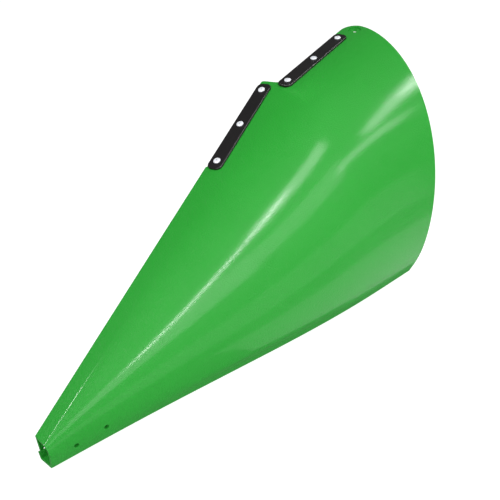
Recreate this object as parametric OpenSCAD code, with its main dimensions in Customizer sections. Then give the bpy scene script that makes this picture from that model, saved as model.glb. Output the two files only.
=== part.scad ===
// Corn-head snout: the one-sided moulded shell that parts two crop rows, with the two riveted
// wear strips on its crest. Lengths are in millimetres and angles in degrees.
// The tip points along -Y, the open rear is at +Y, the bulging outer wall is at +X, up is +Z.
// The origin is on the axis of the front tip bolt hole, midway through the wall.

/* [Shell] */
// Length of the lower edge, from the tip to the rear edge
bottom_length = 1032; // [960:2:1100]
// Length of the crest along Y, from the tip to the rear edge
crest_length = 1315; // [1300:1:1330]
// Thickness of the moulded wall
wall = 6; // [5:0.5:7]
// Height of the tip's box section, lower edge to crest
tip_height = 64; // [58:1:70]
// Width of the flat on top of the tip
tip_flat = 33; // [28:1:36]
// How far the lower edge runs outwards between the tip and the rear
flare = 125; // [90:1:140]
// Squareness of the section's shoulder, 2 for an ellipse
shoulder_power = 1.73; // [1.7:0.01:2]

/* [Crest] */
// Climb of the crest's front seat
front_rise = 21.9; // [21:0.1:23]
// Climb of the crest's rear seat
rear_rise = 9.4; // [8:0.1:10]
// Sideways drift of the crest's front seat
front_drift = 18; // [17:0.1:19]
// Sideways drift of the crest's rear seat
rear_drift = 9.6; // [9:0.1:10.5]
// Where the two seats meet, measured along Y from the tip
knee_y = 944; // [940:1:950]
// Radius of the shell's rear top corner
corner_r = 52; // [30:1:60]

/* [Wear strips] */
// Width of a strip
strip_width = 40; // [36:1:42]
// Thickness of a strip
strip_thickness = 6; // [5:0.5:8]
// Distance between the rivets along a strip
rivet_spacing = 130; // [120:1:132]
// Distance from an end rivet to the strip's end
strip_end = 25; // [22:1:25]

/* [Rivets] */
// Diameter of a rivet's domed flange
rivet_head_d = 18; // [14:0.5:20]
// Height of the domed flange
rivet_head_h = 3.4; // [2.5:0.1:4]
// Diameter of a rivet's sleeve
rivet_shank_d = 6.4; // [6:0.1:6.6]
// Diameter of the mandrel stub left in the sleeve
mandrel_d = 3.6; // [3:0.1:4]
// Outside diameter of a backup washer
washer_d = 18; // [16:0.5:20]

/* [Holes] */
// Diameter of the two tip bolt holes
tip_hole_d = 11; // [9:0.5:13]
// Distance between the tip bolt holes along Y
tip_hole_spacing = 66; // [60:1:80]
// Diameter of the hole in the rear top corner
rear_hole_d = 17; // [13:0.5:18]
// Diameter of the dished recess around it
recess_d = 36; // [32:1:38]

/* [Hidden] */

// Tip section, with X measured from the lower edge: crest edge, wall top and far wall
tip_crest_x = -42;
tip_wall_h = 40;
tip_wall_x = 6;
far_wall_depth = 42;
tip_flange_w = 45;
tip_lip_h = 20;
box_end = 0.15;         // share of the length over which the tip's box fades out
edge_return = wall + 0.6; // the far wall and the lip never get shorter than this

// Rear section
rear_wall_h = 60;
rear_arc_x = -300;      // where the shoulder's curve starts at the rear
mid_bulge = 10;         // extra bulge of the lower wall at mid length
rear_wall_x = 10;

// The tuck below the lower crease: how high it starts and how far it goes in, at its least and most
least_tuck = [1.5, 8];
most_tuck = [10, 26];
body_flange_w = 26;
rear_flange_w = 14;

// The rear top corner's arc stops at this angle, and this is how far along Y it runs
corner_sweep = 75;
corner_run = corner_r * sin(corner_sweep);

// Rounding of the crest line on the body, which the two flat seats don't share
knee_blend = 12;
seat_w = 50;
seat_fade = 70;

// Jog of the crest's free edge between the two seats, and the notch ahead of the front seat
edge_inset = 5;
jog_start = knee_y - 14;
jog_end = knee_y + 4;

// Strip places, along Y from the tip to the first rivet of each
front_first_y = 671;
rear_first_y = 960;
strip_corner_r = 15;
strip_bevel = 1.6;

rivet_fit = 0.1;        // radial clearance of the sleeve in the strip and the shell
washer_t = 1.6;
washer_gap = 0.05;
bulb_d = 10.4;
bulb_h = 6;
recess_depth = 3;
pad_d = 46;
pad_t = 3.5;
tip_holes = [[55, 33], [55 + tip_hole_spacing, 39.5]]; // Y from the tip and Z of each
rear_hole_y = crest_length - 29;
rear_hole_inset = 14;   // from the rear seat's centreline towards the outer wall

arc_steps = 12;
origin = [
    wall_at(tip_holes[0][0] / crest_length, tip_holes[0][1]) - wall / 2, tip_holes[0][0], tip_holes[0][1]
];

function smoothstep(t) =
    let (c = min(1, max(0, t)))
    c * c * (3 - 2 * c);

function mix(a, b, t) = a + (b - a) * t;

// Crest heights: the two seat planes, and the rounded line that the body follows
function front_seat_z(y) = tip_height + tan(front_rise) * y;
function rear_seat_z(y) = front_seat_z(knee_y) + tan(rear_rise) * (y - knee_y);
function seat_z(y) = min(front_seat_z(y), rear_seat_z(y));
function body_z(y) =
    -knee_blend * ln(exp(-front_seat_z(y) / knee_blend) + exp(-rear_seat_z(y) / knee_blend));

// Centrelines of the two seats, and the shell's free edge beside them
function seat_half(drift) = (strip_width / 2) / cos(drift);
function front_edge_x(y) = tip_crest_x - tan(front_drift) * y;
function front_centre_x(y) = front_edge_x(y) + edge_inset + seat_half(front_drift);
function rear_centre_x(y) = -272 - tan(rear_drift) * (y - rear_first_y);
function rear_edge_x(y) = rear_centre_x(y) - seat_half(rear_drift) - edge_inset;
function corner_cut(y) =
    let (past = max(0, y - crest_length + corner_run))
    corner_r - sqrt(corner_r * corner_r - past * past);
function stepped_x(y) =
    mix(front_edge_x(y) + edge_inset * smoothstep((y - front_first_y + strip_end) / 8),
        rear_edge_x(y), smoothstep((y - jog_start) / (jog_end - jog_start)));
function edge_x(y) = stepped_x(y) + corner_cut(y);

// Section widths along the shell, s from 0 at the tip to 1 at the rear
function arc_x(s) =
    let (start = tip_crest_x + tip_flat, slope = -tan(front_drift) * crest_length)
    start + slope * s + (rear_arc_x - start - slope) * s * s;
function shoulder_x(s) = max(arc_x(s), stepped_x(s * crest_length) + 20);
function bottom_x(s) = flare * (s + 0.075 * sin(180 * s) - 0.045 * sin(360 * s));
function wall_x(s) = bottom_x(s) + mix(tip_wall_x, rear_wall_x, s) + mid_bulge * pow(sin(180 * s), 2);
function wall_h(s) = mix(tip_wall_h, rear_wall_h, s);
function tuck(s) = mix(least_tuck, most_tuck, min(1, s / 0.35) * (1 - smoothstep((s - 0.75) / 0.25)));
function boxed(s) = 1 - smoothstep(s / box_end);

// Outer wall's X at a height z below the shoulder
function wall_at(s, z) =
    let (h = wall_h(s), crease = tuck(s))
    wall_x(s) - (wall_x(s) - bottom_x(s) - crease[0]) * pow((h - z) / (h - crease[1]), 2);

// The shoulder's curve a depth d inside the shell, t from 0 at the crest to 90 at the lower wall
function shoulder(s, xe, t, d) =
    let (
        y = s * crest_length,
        xa = shoulder_x(s),
        e = 2 / shoulder_power,
        x = xa + (wall_x(s) - d - xa) * pow(sin(t), e),
        z = wall_h(s) + (body_z(y) - d - wall_h(s)) * pow(cos(t), e)
    )
    [x, z + (seat_z(y) - body_z(y)) * (1 - smoothstep((x - xe - seat_w) / seat_fade))];

// One section's line as [x, z] a depth d inside the shell's outer face, from the far wall's end
// over the crest and down the outer wall to the end of the lip
function section_line(s, d) =
    let (
        y = s * crest_length,
        xe = edge_x(y),
        zc = seat_z(y),
        far = mix(edge_return, far_wall_depth, boxed(s)),
        h = wall_h(s),
        crease = tuck(s),
        bx = bottom_x(s),
        flange = mix(mix(body_flange_w, rear_flange_w, smoothstep((s - 0.7) / 0.3)), tip_flange_w, boxed(s)),
        lip = mix(edge_return, tip_lip_h, boxed(s)),
        slope = 12 * boxed(s),
        out = [cos(slope), sin(slope)],
        up = [-sin(slope), cos(slope)],
        corner = [bx, 0] - flange * out
    )
    concat(
        [[xe + d + 0.13 * (far - edge_return), zc - far], [xe + d, zc - d], [(xe + shoulder_x(s)) / 2, zc - d]],
        [for (i = [0 : arc_steps]) shoulder(s, xe, 90 * i / arc_steps, d)],
        [for (i = [1 : 3]) let (z = mix(h, crease[1], i / 3)) [wall_at(s, z) - d, z]],
        [[bx + 0.3 * crease[0] - d, 2.5 + 0.8 * d], [bx - 2.5 - 0.8 * d, d]],
        [corner + d * out + d * up, corner + lip * up + d * out]
    );

// Sections lean back from the upright tip to the raked rear edge; rim is the height that sets the lean
function place(s, p, rim) =
    [p[0], s * (bottom_length + (crest_length - bottom_length) * rim / seat_z(s * crest_length)), p[1]];

function run(a, b, n) = [for (i = [0 : n - 1]) mix(a, b, i / n)];
station_y = concat(
    run(0, 210, 7),
    run(210, front_first_y - strip_end, 8),
    run(front_first_y - strip_end, front_first_y - strip_end + 8, 2),
    run(front_first_y - strip_end + 8, jog_start, 6),
    run(jog_start, jog_end, 6),
    run(jog_end, crest_length - corner_run, 7),
    [for (i = [0 : 6]) crest_length - corner_run + corner_r * sin(corner_sweep * i / 6)]
);

module loft() {
    sections = [for (y = station_y)
        let (s = y / crest_length, outer = section_line(s, 0), inner = section_line(s, wall), n = len(outer))
        concat(
            [for (p = outer) place(s, p, p[1])],
            [for (i = [n - 1 : -1 : 0]) place(s, inner[i], outer[i][1])]
        )];
    count = len(sections[0]);
    half = count / 2;
    last = len(sections) - 1;
    skin = [for (j = [0 : last - 1], i = [0 : count - 1], k = [0, 1])
        let (
            a = j * count + i,
            b = j * count + (i + 1) % count,
            c = a + count,
            d = b + count
        )
        k == 0 ? [a, d, b] : [a, c, d]];
    cap = function (base, flip)
        [for (i = [0 : half - 2], k = [0, 1])
            let (
                a = base + i,
                b = base + i + 1,
                c = base + count - 2 - i,
                d = base + count - 1 - i,
                tri = k == 0 ? [a, b, c] : [a, c, d]
            )
            flip ? [tri[2], tri[1], tri[0]] : tri];
    polyhedron(
        points = [for (section = sections) each section],
        faces = concat(skin, cap(0, false), cap(last * count, true)),
        convexity = 10
    );
}

function unit(v) = v / norm(v);

// Puts children on a seat: local X runs along the strip, local Z is the seat's outward normal
module on_seat(first_y, centre_x, height, drift, rise) {
    along = unit([-tan(drift), 1, tan(rise)]);
    normal = unit([0, -tan(rise), 1]);
    across = cross(normal, along);
    multmatrix([
        [along[0], across[0], normal[0], centre_x],
        [along[1], across[1], normal[1], first_y],
        [along[2], across[2], normal[2], height],
        [0, 0, 0, 1]
    ])
        children();
}

module front_seat() {
    on_seat(front_first_y, front_centre_x(front_first_y), seat_z(front_first_y), front_drift, front_rise)
        children();
}

module rear_seat() {
    on_seat(rear_first_y, rear_centre_x(rear_first_y), seat_z(rear_first_y), rear_drift, rear_rise)
        children();
}

module each_rivet() {
    for (i = [0 : 2])
        translate([i * rivet_spacing, 0, 0])
            children();
}

module rivet_bores(length) {
    each_rivet()
        translate([0, 0, -length / 2])
            cylinder(h = length, d = rivet_shank_d + 2 * rivet_fit, $fn = 48);
}

module rear_corner() {
    on_seat(rear_hole_y, rear_centre_x(rear_hole_y) + rear_hole_inset, seat_z(rear_hole_y), 0, rear_rise)
        children();
}

module shell() {
    color("limegreen")
        translate(-origin)
            difference() {
                union() {
                    loft();
                    rear_corner()
                        translate([0, 0, -wall - pad_t])
                            cylinder(h = pad_t + 1, d = pad_d, $fn = 72);
                }
                for (hole = tip_holes)
                    translate([-15, hole[0], hole[1]])
                        rotate([0, 90, 0])
                            cylinder(h = 60, d = tip_hole_d, $fn = 48);
                front_seat()
                    rivet_bores(60);
                rear_seat()
                    rivet_bores(60);
                rear_corner() {
                    translate([0, 0, -30])
                        cylinder(h = 60, d = rear_hole_d, $fn = 64);
                    translate([0, 0, -recess_depth])
                        cylinder(h = 20, d = recess_d, $fn = 72);
                }
            }
}

// A flat bar with rounded corners and a bevelled top edge, bored for its rivets
module strip_bar() {
    half = strip_width / 2 - strip_corner_r;
    ends = [-strip_end + strip_corner_r, 2 * rivet_spacing + strip_end - strip_corner_r];
    difference() {
        hull()
            for (x = ends, y = [-half, half])
                translate([x, y, 0]) {
                    cylinder(h = strip_thickness - strip_bevel, r = strip_corner_r, $fn = 32);
                    cylinder(h = strip_thickness, r = strip_corner_r - strip_bevel, $fn = 32);
                }
        rivet_bores(60);
    }
}

module wear_strip_front() {
    color("#242122")
        translate(-origin)
            front_seat()
                strip_bar();
}

module wear_strip_rear() {
    color("#242122")
        translate(-origin)
            rear_seat()
                strip_bar();
}

// Depth of the shell's inner face below a seat, along the seat's normal
function seat_depth(rise) = wall * cos(rise);

// Rivet body: domed flange, sleeve and the bulb that the mandrel has drawn up behind the washer
module rivet_body(rise) {
    back = -seat_depth(rise) - washer_t - 2 * washer_gap;
    dome = [for (i = [0 : 9])
        [mandrel_d / 2 + (rivet_head_d / 2 - mandrel_d / 2) * cos(10 * i),
         strip_thickness + 0.8 + (rivet_head_h - 0.8) * sin(10 * i)]];
    bulb = [for (i = [0 : 9])
        [rivet_shank_d / 2 + (bulb_d - rivet_shank_d) / 2 * sin(20 * i),
         back - bulb_h * i / 9]];
    rotate_extrude($fn = 64)
        polygon(concat(
            [[mandrel_d / 2, back - bulb_h - 1]],
            [[rivet_shank_d / 2, back - bulb_h - 1]],
            [for (i = [9 : -1 : 0]) bulb[i]],
            [[rivet_shank_d / 2, strip_thickness], [rivet_head_d / 2, strip_thickness]],
            dome
        ));
}

// Mandrel stub: the broken-off pin in the sleeve and the head that formed the bulb
module rivet_mandrel(rise) {
    back = -seat_depth(rise) - washer_t - 2 * washer_gap - bulb_h - 1;
    top = strip_thickness + rivet_head_h - 0.9;
    rotate_extrude($fn = 48)
        polygon([
            [0, back - 3.2], [2.2, back - 3.2], [3, back - 2.2], [3, back],
            [mandrel_d / 2, back], [mandrel_d / 2, top - 0.4], [mandrel_d / 2 - 0.4, top], [0, top]
        ]);
}

module backup_washer(rise) {
    translate([0, 0, -seat_depth(rise) - washer_gap - washer_t])
        difference() {
            cylinder(h = washer_t, d = washer_d, $fn = 64);
            translate([0, 0, -1])
                cylinder(h = washer_t + 2, d = rivet_shank_d + 2 * rivet_fit, $fn = 48);
        }
}

module at_front_rivet(i) {
    translate(-origin)
        front_seat()
            translate([(i - 1) * rivet_spacing, 0, 0])
                children();
}

module at_rear_rivet(i) {
    translate(-origin)
        rear_seat()
            translate([(i - 1) * rivet_spacing, 0, 0])
                children();
}

module rivet_body_front(i) { color("#e1e8f5") at_front_rivet(i) rivet_body(front_rise); }
module rivet_body_rear(i) { color("#e1e8f5") at_rear_rivet(i) rivet_body(rear_rise); }
module rivet_mandrel_front(i) { color("#8b8f96") at_front_rivet(i) rivet_mandrel(front_rise); }
module rivet_mandrel_rear(i) { color("#8b8f96") at_rear_rivet(i) rivet_mandrel(rear_rise); }
module backup_washer_front(i) { color("#b9bec6") at_front_rivet(i) backup_washer(front_rise); }
module backup_washer_rear(i) { color("#b9bec6") at_rear_rivet(i) backup_washer(rear_rise); }

shell();
wear_strip_front();
wear_strip_rear();
for (i = [1 : 3]) {
    rivet_body_front(i);
    rivet_body_rear(i);
    rivet_mandrel_front(i);
    rivet_mandrel_rear(i);
    backup_washer_front(i);
    backup_washer_rear(i);
}
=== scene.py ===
import math

import bmesh
import bpy
from mathutils import Matrix, Vector


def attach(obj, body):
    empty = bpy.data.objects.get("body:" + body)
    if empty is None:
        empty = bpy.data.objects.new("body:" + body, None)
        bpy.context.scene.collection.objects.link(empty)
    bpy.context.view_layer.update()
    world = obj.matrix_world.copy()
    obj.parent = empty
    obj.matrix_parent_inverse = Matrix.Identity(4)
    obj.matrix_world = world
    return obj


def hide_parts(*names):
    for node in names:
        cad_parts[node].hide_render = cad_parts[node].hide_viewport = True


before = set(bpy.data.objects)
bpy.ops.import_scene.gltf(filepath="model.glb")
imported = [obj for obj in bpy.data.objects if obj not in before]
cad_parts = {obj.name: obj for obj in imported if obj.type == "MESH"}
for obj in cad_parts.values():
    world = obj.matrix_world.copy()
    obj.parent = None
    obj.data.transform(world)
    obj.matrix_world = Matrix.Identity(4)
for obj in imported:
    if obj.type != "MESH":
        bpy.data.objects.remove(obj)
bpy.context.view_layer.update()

MM = 0.001
scene = bpy.context.scene

# ---------------------------------------------------------------- the shell's form
# Lengths in mm, measured from the tip's lower corner: X outwards, Y to the rear, Z up.
# A section is named by s, its place along the shell, which is 0 at the tip and 1 at the rear.
# A pair is (at the outer face, at the inner face) for a bend, (across, up) for a tuck, and
# (start, length) in s for a fade.
BOTTOM_LENGTH = 1032.0
CREST_LENGTH = 1315.0
WALL = 6.0

# the crest: a front seat, a knee with a jog in the free edge, a rear seat and a round end
TIP_HEIGHT = 64.0
FRONT_RISE = math.radians(21.9)
REAR_RISE = math.radians(9.4)
FRONT_DRIFT = math.radians(18.0)
REAR_DRIFT = math.radians(9.6)
KNEE_Y = 944.0
KNEE_BLEND = 12.0
JOG_START = KNEE_Y - 14.0
JOG_END = KNEE_Y + 4.0
TIP_CREST_X = -42.0
SEAT_W = 50.0
SEAT_FADE = 70.0
EDGE_INSET = 5.0
INSET_RAMP = 8.0
CORNER_R = 52.0
CORNER_TURN = 75.0
CORNER_RUN = CORNER_R * math.sin(math.radians(CORNER_TURN))
CORNER_Y = CREST_LENGTH - CORNER_RUN

# the wear strips and their rivets
STRIP_WIDTH = 40.0
STRIP_END = 25.0
RIVET_SPACING = 130.0
RIVET_BORE_R = 3.3
FRONT_FIRST_Y = 671.0
FRONT_STRIP_Y = FRONT_FIRST_Y - STRIP_END
REAR_FIRST_Y = 960.0
REAR_FIRST_X = -272.0

# the shoulder, the outer wall and the lower edge
TIP_FLAT = 33.0
SHOULDER_POWER = 1.73
SHOULDER_CLEAR = 20.0
REAR_ARC_X = -300.0
FLARE = 125.0
FLARE_BOW = 0.075
FLARE_SWAY = 0.045
TIP_WALL_H = 40.0
REAR_WALL_H = 60.0
TIP_WALL_X = 6.0
REAR_WALL_X = 10.0
MID_BULGE = 10.0
LEAST_TUCK = (1.5, 8.0)
MOST_TUCK = (10.0, 26.0)
TUCK_FULL_AT = 0.35
TUCK_FADE = (0.75, 0.25)

# the inner flange, and the box section that closes the tip
BOX_END = 0.15
FAR_WALL_DEPTH = 42.0
FAR_WALL_LEAN = 0.13
EDGE_RETURN = WALL + 0.6
TIP_FLANGE_W = 45.0
BODY_FLANGE_W = 26.0
REAR_FLANGE_W = 14.0
FLANGE_FADE = (0.7, 0.3)
TIP_LIP_H = 20.0
TIP_FOOT_SLOPE = 12.0

# the section's bends
CREST_BEND = (3.0, 0.8)
TUCK_BEND = 9.0
FOOT_BEND = (4.0, 2.0)
FOOT_CUT = 2.5
FOOT_CUT_SHARE = 0.8
LIP_BEND = (3.0, 0.6)

# the holes, the recess at the rear corner and the pad behind it
TIP_HOLES = ((55.0, 33.0), (121.0, 39.5))
TIP_HOLE_R = 5.5
REAR_HOLE_Y = CREST_LENGTH - 29.0
REAR_HOLE_INSET = 14.0
REAR_HOLE_R = 8.5
RECESS_R = 18.0
RECESS_DEPTH = 3.0
PAD_R = 23.0
PAD_T = 3.5

# the mesh's fineness
ARC_POINTS = 56
WALL_POINTS = 8
BEND_STEPS = 5
CORNER_ROWS = 22


def smoothstep(t):
    c = min(1.0, max(0.0, t))
    return c * c * (3 - 2 * c)


def mix(a, b, t):
    return a + (b - a) * t


def front_seat_z(y):
    return TIP_HEIGHT + math.tan(FRONT_RISE) * y


def rear_seat_z(y):
    return front_seat_z(KNEE_Y) + math.tan(REAR_RISE) * (y - KNEE_Y)


def seat_z(y):
    """The crest's height, with the sharp knee that the two seats make."""
    return min(front_seat_z(y), rear_seat_z(y))


def body_z(y):
    """The crest's height with the knee smoothed, as the body below the seats has it."""
    a, b = front_seat_z(y), rear_seat_z(y)
    m = min(a, b)
    parts = math.exp((m - a) / KNEE_BLEND) + math.exp((m - b) / KNEE_BLEND)
    return m - KNEE_BLEND * math.log(parts)


def seat_half(drift):
    return STRIP_WIDTH / 2 / math.cos(drift)


def front_edge_x(y):
    return TIP_CREST_X - math.tan(FRONT_DRIFT) * y


def front_centre_x(y):
    return front_edge_x(y) + EDGE_INSET + seat_half(FRONT_DRIFT)


def rear_centre_x(y):
    return REAR_FIRST_X - math.tan(REAR_DRIFT) * (y - REAR_FIRST_Y)


def rear_edge_x(y):
    return rear_centre_x(y) - seat_half(REAR_DRIFT) - EDGE_INSET


def corner_cut(y):
    """How far the round rear corner takes the free edge inwards."""
    past = max(0.0, y - CREST_LENGTH + CORNER_RUN)
    return CORNER_R - math.sqrt(CORNER_R * CORNER_R - past * past)


def stepped_x(y):
    """The free edge, with the small step where the front strip starts and the jog at the knee."""
    front = front_edge_x(y) + EDGE_INSET * smoothstep((y - FRONT_STRIP_Y) / INSET_RAMP)
    return mix(front, rear_edge_x(y), smoothstep((y - JOG_START) / (JOG_END - JOG_START)))


def arc_x(s):
    """Where the flat crest ends and the shoulder's arc starts."""
    start = TIP_CREST_X + TIP_FLAT
    slope = -math.tan(FRONT_DRIFT) * CREST_LENGTH
    return start + slope * s + (REAR_ARC_X - start - slope) * s * s


def shoulder_x(s):
    return max(arc_x(s), stepped_x(s * CREST_LENGTH) + SHOULDER_CLEAR)


def bottom_x(s):
    bow = FLARE_BOW * math.sin(math.pi * s)
    sway = FLARE_SWAY * math.sin(2 * math.pi * s)
    return FLARE * (s + bow - sway)


def wall_x(s):
    bulge = MID_BULGE * math.sin(math.pi * s) ** 2
    return bottom_x(s) + mix(TIP_WALL_X, REAR_WALL_X, s) + bulge


def wall_h(s):
    return mix(TIP_WALL_H, REAR_WALL_H, s)


def tuck(s):
    """How far the wall turns in above the lower edge, and the height at which it starts to."""
    start, run_out = TUCK_FADE
    k = min(1.0, s / TUCK_FULL_AT) * (1 - smoothstep((s - start) / run_out))
    return mix(LEAST_TUCK[0], MOST_TUCK[0], k), mix(LEAST_TUCK[1], MOST_TUCK[1], k)


def boxed(s):
    """1 at the tip's closed box section, 0 where the section is open."""
    return 1 - smoothstep(s / BOX_END)


def wall_at(s, z):
    """The outer wall's X at the height z, below the shoulder."""
    h = wall_h(s)
    crease = tuck(s)
    drop = (h - z) / (h - crease[1])
    return wall_x(s) - (wall_x(s) - bottom_x(s) - crease[0]) * drop ** 2


def shoulder(s, xe, t, d):
    """A point of the shoulder's arc at the angle t from the crest, a depth d inside the face."""
    y = s * CREST_LENGTH
    xa = shoulder_x(s)
    e = 2 / SHOULDER_POWER
    x = xa + (wall_x(s) - d - xa) * math.sin(t) ** e
    z = wall_h(s) + (body_z(y) - d - wall_h(s)) * max(0.0, math.cos(t)) ** e
    return x, z + (seat_z(y) - body_z(y)) * (1 - smoothstep((x - xe - SEAT_W) / SEAT_FADE))


def fillet(points, radii, steps):
    """The line with each corner that has a radius turned into an arc of steps + 1 points."""
    out = []
    for i, p in enumerate(points):
        r = radii.get(i, 0.0)
        if r <= 0:
            out.append(Vector(p))
            continue
        p = Vector(p)
        a = Vector(points[i - 1]) - p
        b = Vector(points[i + 1]) - p
        reach = min(r, 0.45 * a.length, 0.45 * b.length)
        pa = p + a.normalized() * reach
        pb = p + b.normalized() * reach
        for k in range(steps + 1):
            t = k / steps
            out.append(pa * (1 - t) ** 2 + p * 2 * t * (1 - t) + pb * t * t)
    return out


def section_line(s, d):
    """The section's line as (x, z), a depth d inside the shell's outer face."""
    y = s * CREST_LENGTH
    xe = stepped_x(y) + corner_cut(y)
    zc = seat_z(y)
    box = boxed(s)
    far = mix(EDGE_RETURN, FAR_WALL_DEPTH, box)
    h = wall_h(s)
    crease = tuck(s)
    bx = bottom_x(s)
    fade = smoothstep((s - FLANGE_FADE[0]) / FLANGE_FADE[1])
    flange = mix(mix(BODY_FLANGE_W, REAR_FLANGE_W, fade), TIP_FLANGE_W, box)
    lip = mix(EDGE_RETURN, TIP_LIP_H, box)
    slope = math.radians(TIP_FOOT_SLOPE * box)
    out = Vector((math.cos(slope), math.sin(slope)))
    up = Vector((-math.sin(slope), math.cos(slope)))
    corner = Vector((bx, 0)) - flange * out
    inner = d / WALL
    crest = [
        (xe + d + FAR_WALL_LEAN * (far - EDGE_RETURN), zc - far),
        (xe + d, zc - d),
        ((xe + shoulder_x(s)) / 2, zc - d),
    ]
    line = fillet(crest, {1: mix(*CREST_BEND, inner)}, BEND_STEPS)
    arc = [shoulder(s, xe, math.pi / 2 * i / ARC_POINTS, d) for i in range(ARC_POINTS + 1)]
    line += [Vector(p) for p in arc]
    heights = [mix(h, crease[1], i / WALL_POINTS) for i in range(1, WALL_POINTS + 1)]
    low = [(wall_at(s, z) - d, z) for z in heights]
    cut = FOOT_CUT_SHARE * d
    foot = low[-2:]
    foot.append((bx + 0.3 * crease[0] - d, FOOT_CUT + cut))
    foot.append((bx - FOOT_CUT - cut, d))
    foot.append(tuple(corner + d * out + d * up))
    foot.append(tuple(corner + lip * up + d * out))
    bend = mix(*FOOT_BEND, inner)
    bends = {1: TUCK_BEND, 2: bend, 3: bend, 4: mix(*LIP_BEND, inner)}
    line += [Vector(p) for p in low[:-2]] + fillet(foot, bends, BEND_STEPS)
    return line


def place(s, p, rim):
    """The section's point p in space. The sections lean, as the crest is longer than the base."""
    lean = BOTTOM_LENGTH + (CREST_LENGTH - BOTTOM_LENGTH) * rim / seat_z(s * CREST_LENGTH)
    return Vector((p[0], s * lean, p[1]))


# The row frame starts at the middle of the wall in the front tip hole.
ORIGIN_Y, ORIGIN_Z = TIP_HOLES[0]
ORIGIN_X = wall_at(ORIGIN_Y / CREST_LENGTH, ORIGIN_Z) - WALL / 2
ORIGIN = Vector((ORIGIN_X, ORIGIN_Y, ORIGIN_Z))


def row(p):
    """A point of the form's own frame, in mm, as a point of the row frame, in metres."""
    return (Vector(p) - ORIGIN) * MM


# ---------------------------------------------------------------- mesh helpers
def run(a, b, n):
    """n even steps from a up to b, without b itself."""
    return [mix(a, b, i / n) for i in range(n)]


def mesh_object(name, bm):
    mesh = bpy.data.meshes.new(name)
    bm.to_mesh(mesh)
    bm.free()
    obj = bpy.data.objects.new(name, mesh)
    scene.collection.objects.link(obj)
    return obj


def apply_modifiers(obj):
    """Turn the object's modifiers into its mesh."""
    bpy.context.view_layer.update()
    graph = bpy.context.evaluated_depsgraph_get()
    mesh = bpy.data.meshes.new_from_object(obj.evaluated_get(graph))
    obj.modifiers.clear()
    obj.data = mesh


def shade(obj, angle):
    """Smooth faces, with the edges sharper than angle degrees kept sharp."""
    bm = bmesh.new()
    bm.from_mesh(obj.data)
    for f in bm.faces:
        f.smooth = True
    for e in bm.edges:
        e.smooth = len(e.link_faces) == 2 and e.calc_face_angle(0) < math.radians(angle)
    bm.to_mesh(obj.data)
    bm.free()


def cylinder_cutter(name, radius, ends, matrix, segments=96):
    """A cylinder along the matrix's Z, between its two ends in mm."""
    low, high = ends
    bm = bmesh.new()
    bmesh.ops.create_cone(
        bm,
        cap_ends=True,
        segments=segments,
        radius1=radius * MM,
        radius2=radius * MM,
        depth=(high - low) * MM,
    )
    bmesh.ops.translate(bm, verts=bm.verts, vec=(0, 0, (high + low) / 2 * MM))
    bmesh.ops.transform(bm, matrix=matrix, verts=bm.verts)
    return mesh_object(name, bm)


def seat_matrix(y, x, drift, rise):
    """The frame of a crest seat at y. X runs along the seat, and Z is its outward normal."""
    along = Vector((-math.tan(drift), 1, math.tan(rise))).normalized()
    normal = Vector((0, -math.tan(rise), 1)).normalized()
    across = normal.cross(along)
    m = Matrix((along, across, normal)).transposed().to_4x4()
    m.translation = row((x, y, seat_z(y)))
    return m


FRONT_SEAT = seat_matrix(FRONT_FIRST_Y, front_centre_x(FRONT_FIRST_Y), FRONT_DRIFT, FRONT_RISE)
REAR_SEAT = seat_matrix(REAR_FIRST_Y, rear_centre_x(REAR_FIRST_Y), REAR_DRIFT, REAR_RISE)
REAR_HOLE_X = rear_centre_x(REAR_HOLE_Y) + REAR_HOLE_INSET
REAR_CORNER = seat_matrix(REAR_HOLE_Y, REAR_HOLE_X, 0.0, REAR_RISE)


# ---------------------------------------------------------------- materials
MIX_A, MIX_B, MIX_COLOUR = 6, 7, 2  # the Mix node's colour inputs and colour output


def linear(r, g, b):
    """A colour given from 0 to 255, as a screen shows it, as linear values with alpha."""

    def one(v):
        v /= 255
        return v / 12.92 if v <= 0.04045 else ((v + 0.055) / 1.055) ** 2.4

    return one(r), one(g), one(b), 1.0


class Nodes:
    """A procedural material: one Principled shader, and the nodes that feed it."""

    def __init__(self, name):
        self.mat = bpy.data.materials.new(name)
        self.mat.use_nodes = True
        self.tree = self.mat.node_tree
        self.shader = self.tree.nodes["Principled BSDF"]
        self.coords = self.add("ShaderNodeTexCoord")

    def add(self, kind, **values):
        node = self.tree.nodes.new(kind)
        for key, value in values.items():
            if hasattr(node, key):
                setattr(node, key, value)
            else:
                node.inputs[key.replace("_", " ")].default_value = value
        return node

    def link(self, a, b):
        self.tree.links.new(a, b)

    def noise(self, scale, detail=2.0, rough=0.5):
        node = self.add("ShaderNodeTexNoise", Scale=scale, Detail=detail, Roughness=rough)
        self.link(self.coords.outputs["Object"], node.inputs["Vector"])
        return node.outputs["Fac"]

    def ranged(self, value, low, high):
        node = self.add("ShaderNodeMapRange", To_Min=low, To_Max=high)
        self.link(value, node.inputs["Value"])
        return node.outputs["Result"]

    def blend(self, value, a, b):
        node = self.add("ShaderNodeMix", data_type="RGBA")
        self.link(value, node.inputs["Factor"])
        node.inputs[MIX_A].default_value = a
        node.inputs[MIX_B].default_value = b
        return node.outputs[MIX_COLOUR]

    def bump(self, height, strength, distance):
        node = self.add("ShaderNodeBump", Strength=strength, Distance=distance)
        self.link(height, node.inputs["Height"])
        return node.outputs["Normal"]

    def set(self, **values):
        for key, value in values.items():
            self.shader.inputs[key.replace("_", " ")].default_value = value


def finished(n, tone, colours, rough, grain, bump):
    """Join up a look: two colours blended by tone, and roughness and bumps that follow grain."""
    n.link(n.blend(tone, *colours), n.shader.inputs["Base Color"])
    n.link(n.ranged(grain, *rough), n.shader.inputs["Roughness"])
    n.link(n.bump(grain, *bump), n.shader.inputs["Normal"])
    return n.mat


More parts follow.
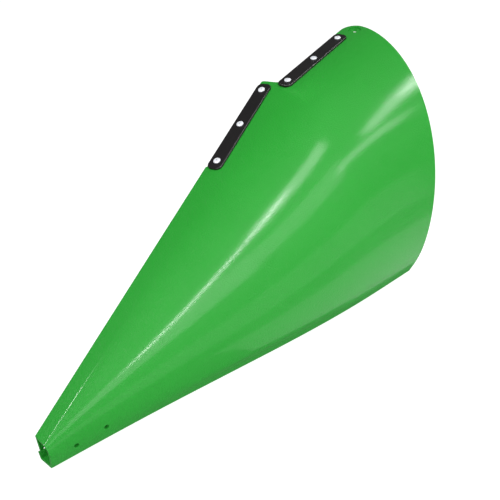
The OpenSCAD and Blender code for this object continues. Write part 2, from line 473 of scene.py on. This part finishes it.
def green_plastic():
    n = Nodes("green_plastic_look")
    tone = n.noise(6.0, 3.0)
    grain = n.noise(330.0, 3.0, 0.6)
    n.set(IOR=1.5, Specular_IOR_Level=0.25, Coat_Weight=0.4, Coat_Roughness=0.13, Coat_IOR=1.5)
    colours = linear(33, 150, 43), linear(39, 157, 49)
    return finished(n, tone, colours, (0.30, 0.40), grain, (0.8, 0.0022))


def black_strip():
    n = Nodes("black_strip_look")
    tone = n.noise(30.0, 3.0)
    grain = n.noise(500.0, 2.0, 0.6)
    n.set(Specular_IOR_Level=0.5)
    colours = linear(16, 14, 15), linear(26, 24, 25)
    return finished(n, tone, colours, (0.32, 0.46), grain, (0.3, 0.0005))


def metal(name, colour, rough, metallic=1.0):
    n = Nodes(name)
    tone = n.noise(300.0, 3.0)
    n.set(Metallic=metallic)
    darker = tuple(c * 0.85 for c in colour) + (1.0,)
    return finished(n, tone, (darker, colour + (1.0,)), rough, tone, (0.1, 0.0001))


GREEN = green_plastic()
BLACK = black_strip()
ALUMINIUM = metal("rivet_aluminium_look", (0.92, 0.95, 1.0), (0.3, 0.42), 0.15)
STEEL = metal("mandrel_steel_look", (0.42, 0.43, 0.45), (0.35, 0.5))
WASHER = metal("washer_aluminium_look", (0.74, 0.76, 0.79), (0.3, 0.42))

# ---------------------------------------------------------------- the shell
# The places of the rings along the crest, closer together where its edge turns.
STATIONS = [0.0, 1.0, 2.5, 5.0]
for start, end, rows in (
    (10.0, FRONT_STRIP_Y - 2, 64),
    (FRONT_STRIP_Y - 2, FRONT_STRIP_Y + 10, 8),
    (FRONT_STRIP_Y + 10, JOG_START - 2, 26),
    (JOG_START - 2, JOG_END + 2, 14),
    (JOG_END + 2, CORNER_Y, 30),
):
    STATIONS += run(start, end, rows)
for i in range(CORNER_ROWS + 1):
    STATIONS.append(CORNER_Y + CORNER_R * math.sin(math.radians(CORNER_TURN * i / CORNER_ROWS)))


def build_shell():
    """The shell without its holes: a ring of outer and inner points at each station."""
    bm = bmesh.new()
    rings = []
    for y in STATIONS:
        s = y / CREST_LENGTH
        outer = section_line(s, 0.0)
        inner = section_line(s, WALL)
        ring = [place(s, p, p[1]) for p in outer]
        ring += [place(s, q, p[1]) for p, q in reversed(list(zip(outer, inner)))]
        rings.append([bm.verts.new(row(p)) for p in ring])
    count = len(rings[0])
    half = count // 2
    for a, b in zip(rings, rings[1:]):
        for i in range(count):
            j = (i + 1) % count
            bm.faces.new((a[i], a[j], b[j], b[i]))
    for ring, flip in ((rings[0], True), (rings[-1], False)):
        for i in range(half - 1):
            quad = (ring[i], ring[i + 1], ring[count - 2 - i], ring[count - 1 - i])
            bm.faces.new(quad[::-1] if flip else quad)
    bmesh.ops.recalc_face_normals(bm, faces=bm.faces)
    return mesh_object("moulded_shell", bm)


# Each cutter's low and high end, in mm from the surface that it goes through.
TIP_CUT = (-15.0, 45.0)
RIVET_CUT = (-20.0, 20.0)
CORNER_CUT = (-30.0, 20.0)
RECESS_CUT = (-RECESS_DEPTH, 20.0)
PAD_ENDS = (-WALL - PAD_T, -WALL + 1)
RIVET_SEGMENTS = 48
SHARP_ANGLE = 35.0

shell = build_shell()
cutters = []
for i, (y, z) in enumerate(TIP_HOLES):
    across = Matrix.Translation(row((0, y, z))) @ Matrix.Rotation(math.pi / 2, 4, "Y")
    cutters.append(cylinder_cutter(f"cut_tip_{i}", TIP_HOLE_R, TIP_CUT, across))
for name, seat in (("front", FRONT_SEAT), ("rear", REAR_SEAT)):
    for i in range(3):
        at = seat @ Matrix.Translation((i * RIVET_SPACING * MM, 0, 0))
        hole = (f"cut_{name}_{i}", RIVET_BORE_R, RIVET_CUT, at, RIVET_SEGMENTS)
        cutters.append(cylinder_cutter(*hole))
pad = cylinder_cutter("pad", PAD_R, PAD_ENDS, REAR_CORNER)
cutters.append(cylinder_cutter("cut_recess", RECESS_R, RECESS_CUT, REAR_CORNER))
cutters.append(cylinder_cutter("cut_corner", REAR_HOLE_R, CORNER_CUT, REAR_CORNER))
for other, operation in [(pad, "UNION")] + [(c, "DIFFERENCE") for c in cutters]:
    mod = shell.modifiers.new("cut", "BOOLEAN")
    mod.object = other
    mod.operation = operation
    mod.solver = "EXACT"
apply_modifiers(shell)
for other in [pad] + cutters:
    bpy.data.objects.remove(other)
shade(shell, SHARP_ANGLE)
shell.data.materials.clear()
shell.data.materials.append(GREEN)
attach(shell, "root")
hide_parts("shell")

# ---------------------------------------------------------------- CAD pieces that stay
LOOKS = {
    "wear_strip": BLACK,
    "rivet_body": ALUMINIUM,
    "rivet_mandrel": STEEL,
    "backup_washer": WASHER,
}
for node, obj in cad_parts.items():
    for family, look in LOOKS.items():
        if node.startswith(family):
            for material_slot in obj.material_slots:
                material_slot.material = look

# ---------------------------------------------------------------- camera, floor and lights
CAMERA_AT = (884.3, -335.9, 1135.4)  # mm, in the form's own frame
CAMERA_DIP = 35.264
CAMERA_TURN = 45.0
FLOOR_DROP = 0.012
CARD_LIFT = 0.0005
CARD_X = (0.14, 1.0)
CARD_Y = (0.45, 2.2)
AMBIENT = 0.14

camera_data = bpy.data.cameras.new("camera")
camera_data.lens = 50.0
camera_data.sensor_width = 36.0
camera_data.clip_end = 50.0
camera = bpy.data.objects.new("camera", camera_data)
camera.location = row(CAMERA_AT)
camera.rotation_euler = (math.radians(90 - CAMERA_DIP), 0.0, math.radians(CAMERA_TURN))
scene.collection.objects.link(camera)
scene.camera = camera

floor_z = row((0, 0, 0)).z - FLOOR_DROP
bm = bmesh.new()
bmesh.ops.create_grid(bm, x_segments=1, y_segments=1, size=60.0)
bmesh.ops.translate(bm, verts=bm.verts, vec=(0, 0, floor_z))
floor = mesh_object("floor", bm)
floor_look = Nodes("floor_look")
floor_look.set(Base_Color=(0.35, 0.35, 0.35, 1.0), Roughness=0.9, Emission_Strength=0.93)
floor_look.set(Emission_Color=(1.0, 1.0, 1.0, 1.0))
floor.data.materials.append(floor_look.mat)
floor.visible_glossy = False

# The floor isn't seen in the gloss, so this card gives the one pale reflection that is wanted.
(left, right), (near, far) = CARD_X, CARD_Y
bm = bmesh.new()
corners = ((left, near), (right, near), (right, far), (left, far))
bm.faces.new([bm.verts.new((x, y, floor_z + CARD_LIFT)) for x, y in corners])
card = mesh_object("floor_card", bm)
card.data.materials.append(floor_look.mat)

# The world is white to the camera, and lights the part dimly.
world = bpy.data.worlds.new("world")
world.use_nodes = True
tree = world.node_tree
dim = tree.nodes["Background"]
dim.inputs["Color"].default_value = (1, 1, 1, 1)
dim.inputs["Strength"].default_value = AMBIENT
white = tree.nodes.new("ShaderNodeBackground")
white.inputs["Color"].default_value = (1, 1, 1, 1)
seen = tree.nodes.new("ShaderNodeLightPath")
either = tree.nodes.new("ShaderNodeMixShader")
tree.links.new(seen.outputs["Is Camera Ray"], either.inputs["Fac"])
tree.links.new(dim.outputs["Background"], either.inputs[1])
tree.links.new(white.outputs["Background"], either.inputs[2])
tree.links.new(either.outputs["Shader"], tree.nodes["World Output"].inputs["Surface"])
scene.world = world


def soft_box(name, size, radiance):
    """A rectangular lamp of the given size in metres, as bright as the radiance says."""
    data = bpy.data.lights.new(name, "AREA")
    data.shape = "RECTANGLE"
    data.size, data.size_y = size
    data.energy = radiance * math.pi * size[0] * size[1]
    obj = bpy.data.objects.new(name, data)
    scene.collection.objects.link(obj)
    return obj


def area_light(name, at, target, size, radiance):
    """A soft box at a point, facing target."""
    obj = soft_box(name, size, radiance)
    obj.location = at
    facing = (Vector(target) - Vector(at)).to_track_quat("-Z", "Y")
    obj.rotation_euler = facing.to_euler()


def bar_light(name, a, b, width, radiance, target):
    """A long narrow soft box from a to b, facing target."""
    a, b, target = Vector(a), Vector(b), Vector(target)
    middle = (a + b) / 2
    away = (middle - target).normalized()
    along = (b - a).normalized()
    away = (away - along * away.dot(along)).normalized()
    obj = soft_box(name, ((b - a).length, width), radiance)
    obj.matrix_world = Matrix((along, away.cross(along), away)).transposed().to_4x4()
    obj.location = middle


MIDDLE = (0.0, 0.5, 0.15)
TIP = (0.0, 0.0, 0.1)
REAR = (-0.2, 1.1, 0.3)

area_light("front_soft_box", (1.6, -1.7, 2.3), MIDDLE, (2.0, 2.0), 1.6)
area_light("left_soft_box", (0.0, -1.6, 2.7), MIDDLE, (1.6, 1.6), 4.2)
area_light("low_wall", (3.0, 1.2, 0.85), MIDDLE, (4.5, 1.0), 1.05)

# the lamps whose reflections are the streaks on the shoulder, from the tip to the rear
bar_light("ridge_bar", (1.42, 0.06, 2.0), (0.86, 0.62, 2.0), 0.06, 50.0, MIDDLE)
bar_light("ridge_end_bar", (0.86, 0.62, 2.0), (0.54, 1.04, 2.0), 0.06, 42.0, MIDDLE)
bar_light("glow_bar", (0.68, 0.80, 2.0), (0.36, 1.50, 2.0), 0.25, 10.0, MIDDLE)
bar_light("band_bar", (1.78, -0.30, 2.0), (1.50, 0.90, 2.0), 0.70, 3.6, MIDDLE)
bar_light("band_end_bar", (1.50, 0.90, 2.0), (1.16, 1.90, 2.0), 0.50, 2.8, MIDDLE)
bar_light("rear_low_bar", (1.20, 1.80, 2.0), (1.04, 2.90, 2.0), 0.16, 8.0, MIDDLE)
bar_light("rear_bar", (0.85, 2.40, 2.0), (0.50, 2.76, 2.0), 0.18, 11.0, MIDDLE)
area_light("rear_spot", (0.45, 2.85, 2.0), REAR, (0.25, 0.25), 22.0)
bar_light("crest_bar", (-0.92, -1.08, 2.25), (-1.30, -0.62, 2.25), 0.12, 62.0, TIP)

scene.view_settings.view_transform = "Standard"
